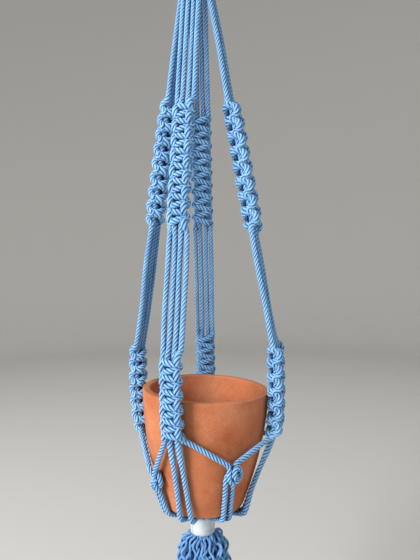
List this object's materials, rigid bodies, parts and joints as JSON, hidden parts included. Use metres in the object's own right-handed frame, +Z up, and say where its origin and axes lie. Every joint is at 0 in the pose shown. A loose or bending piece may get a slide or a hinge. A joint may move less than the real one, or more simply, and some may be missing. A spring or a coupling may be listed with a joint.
{
  "type": "hanging planter",
  "caption": "Flower pot carried in a macrame cord hanger with knotted arms, a ring to hang it by and a tassel.",
  "frame": {"origin": "where the ring bears on its hook, at the top of the ring's inside", "axes": "+Z up along the hanger, -Y the front, +X to the right seen from the front"},
  "size_m": [0.1223, 0.1215, 0.6267],
  "materials": {
    "cord": "twisted cotton",
    "tassel": "unplied cotton",
    "tape": "smooth tape",
    "pot": "unglazed terracotta",
    "ring": "sanded, oiled"
  },
  "bodies": {
    "ring": {"hanging_ring": "ring"},
    "hanger": {"cord_gather": "cord", "filler_cords_back": "cord", "filler_cords_front": "cord", "filler_cords_left": "cord", "filler_cords_right": "cord", "lower_sinnet_back": "cord", "lower_sinnet_front": "cord", "lower_sinnet_left": "cord", "lower_sinnet_right": "cord", "mid_knot_back_left": "cord", "mid_knot_back_right": "cord", "mid_knot_front_left": "cord", "mid_knot_front_right": "cord", "middle_cords_back": "cord", "middle_cords_front": "cord", "middle_cords_left": "cord", "middle_cords_right": "cord", "pair_cords_back_left": "cord", "pair_cords_back_right": "cord", "pair_cords_front_left": "cord", "pair_cords_front_right": "cord", "ring_loops": "cord", "upper_cords_back": "cord", "upper_cords_front": "cord", "upper_cords_left": "cord", "upper_cords_right": "cord", "upper_sinnet_back": "cord", "upper_sinnet_front": "cord", "upper_sinnet_left": "cord", "upper_sinnet_right": "cord", "working_cord_back_back_left": "cord", "working_cord_back_back_right": "cord", "working_cord_front_front_left": "cord", "working_cord_front_front_right": "cord", "working_cord_left_back_left": "cord", "working_cord_left_front_left": "cord", "working_cord_right_back_right": "cord", "working_cord_right_front_right": "cord", "neck_tape": "tape", "band_tape": "tape"},
    "pot": {"terracotta_pot": "pot"},
    "tassel": {"tassel": "tassel"}
  },
  "joints": [
    {"name": "swing", "type": "hinge", "parent": "ring", "child": "hanger", "pos_m": [0, 0, -0.0415], "axis": [1, 0, 0], "range_deg": [-25, 25]},
    {"name": "lift", "type": "slide", "parent": "hanger", "child": "pot", "axis": [0, 0, 1], "range_m": [0, 0.04]},
    {"name": "sway", "type": "hinge", "parent": "hanger", "child": "tassel", "pos_m": [0, 0, -0.5506], "axis": [1, 0, 0], "range_deg": [-20, 20]}
  ]
}
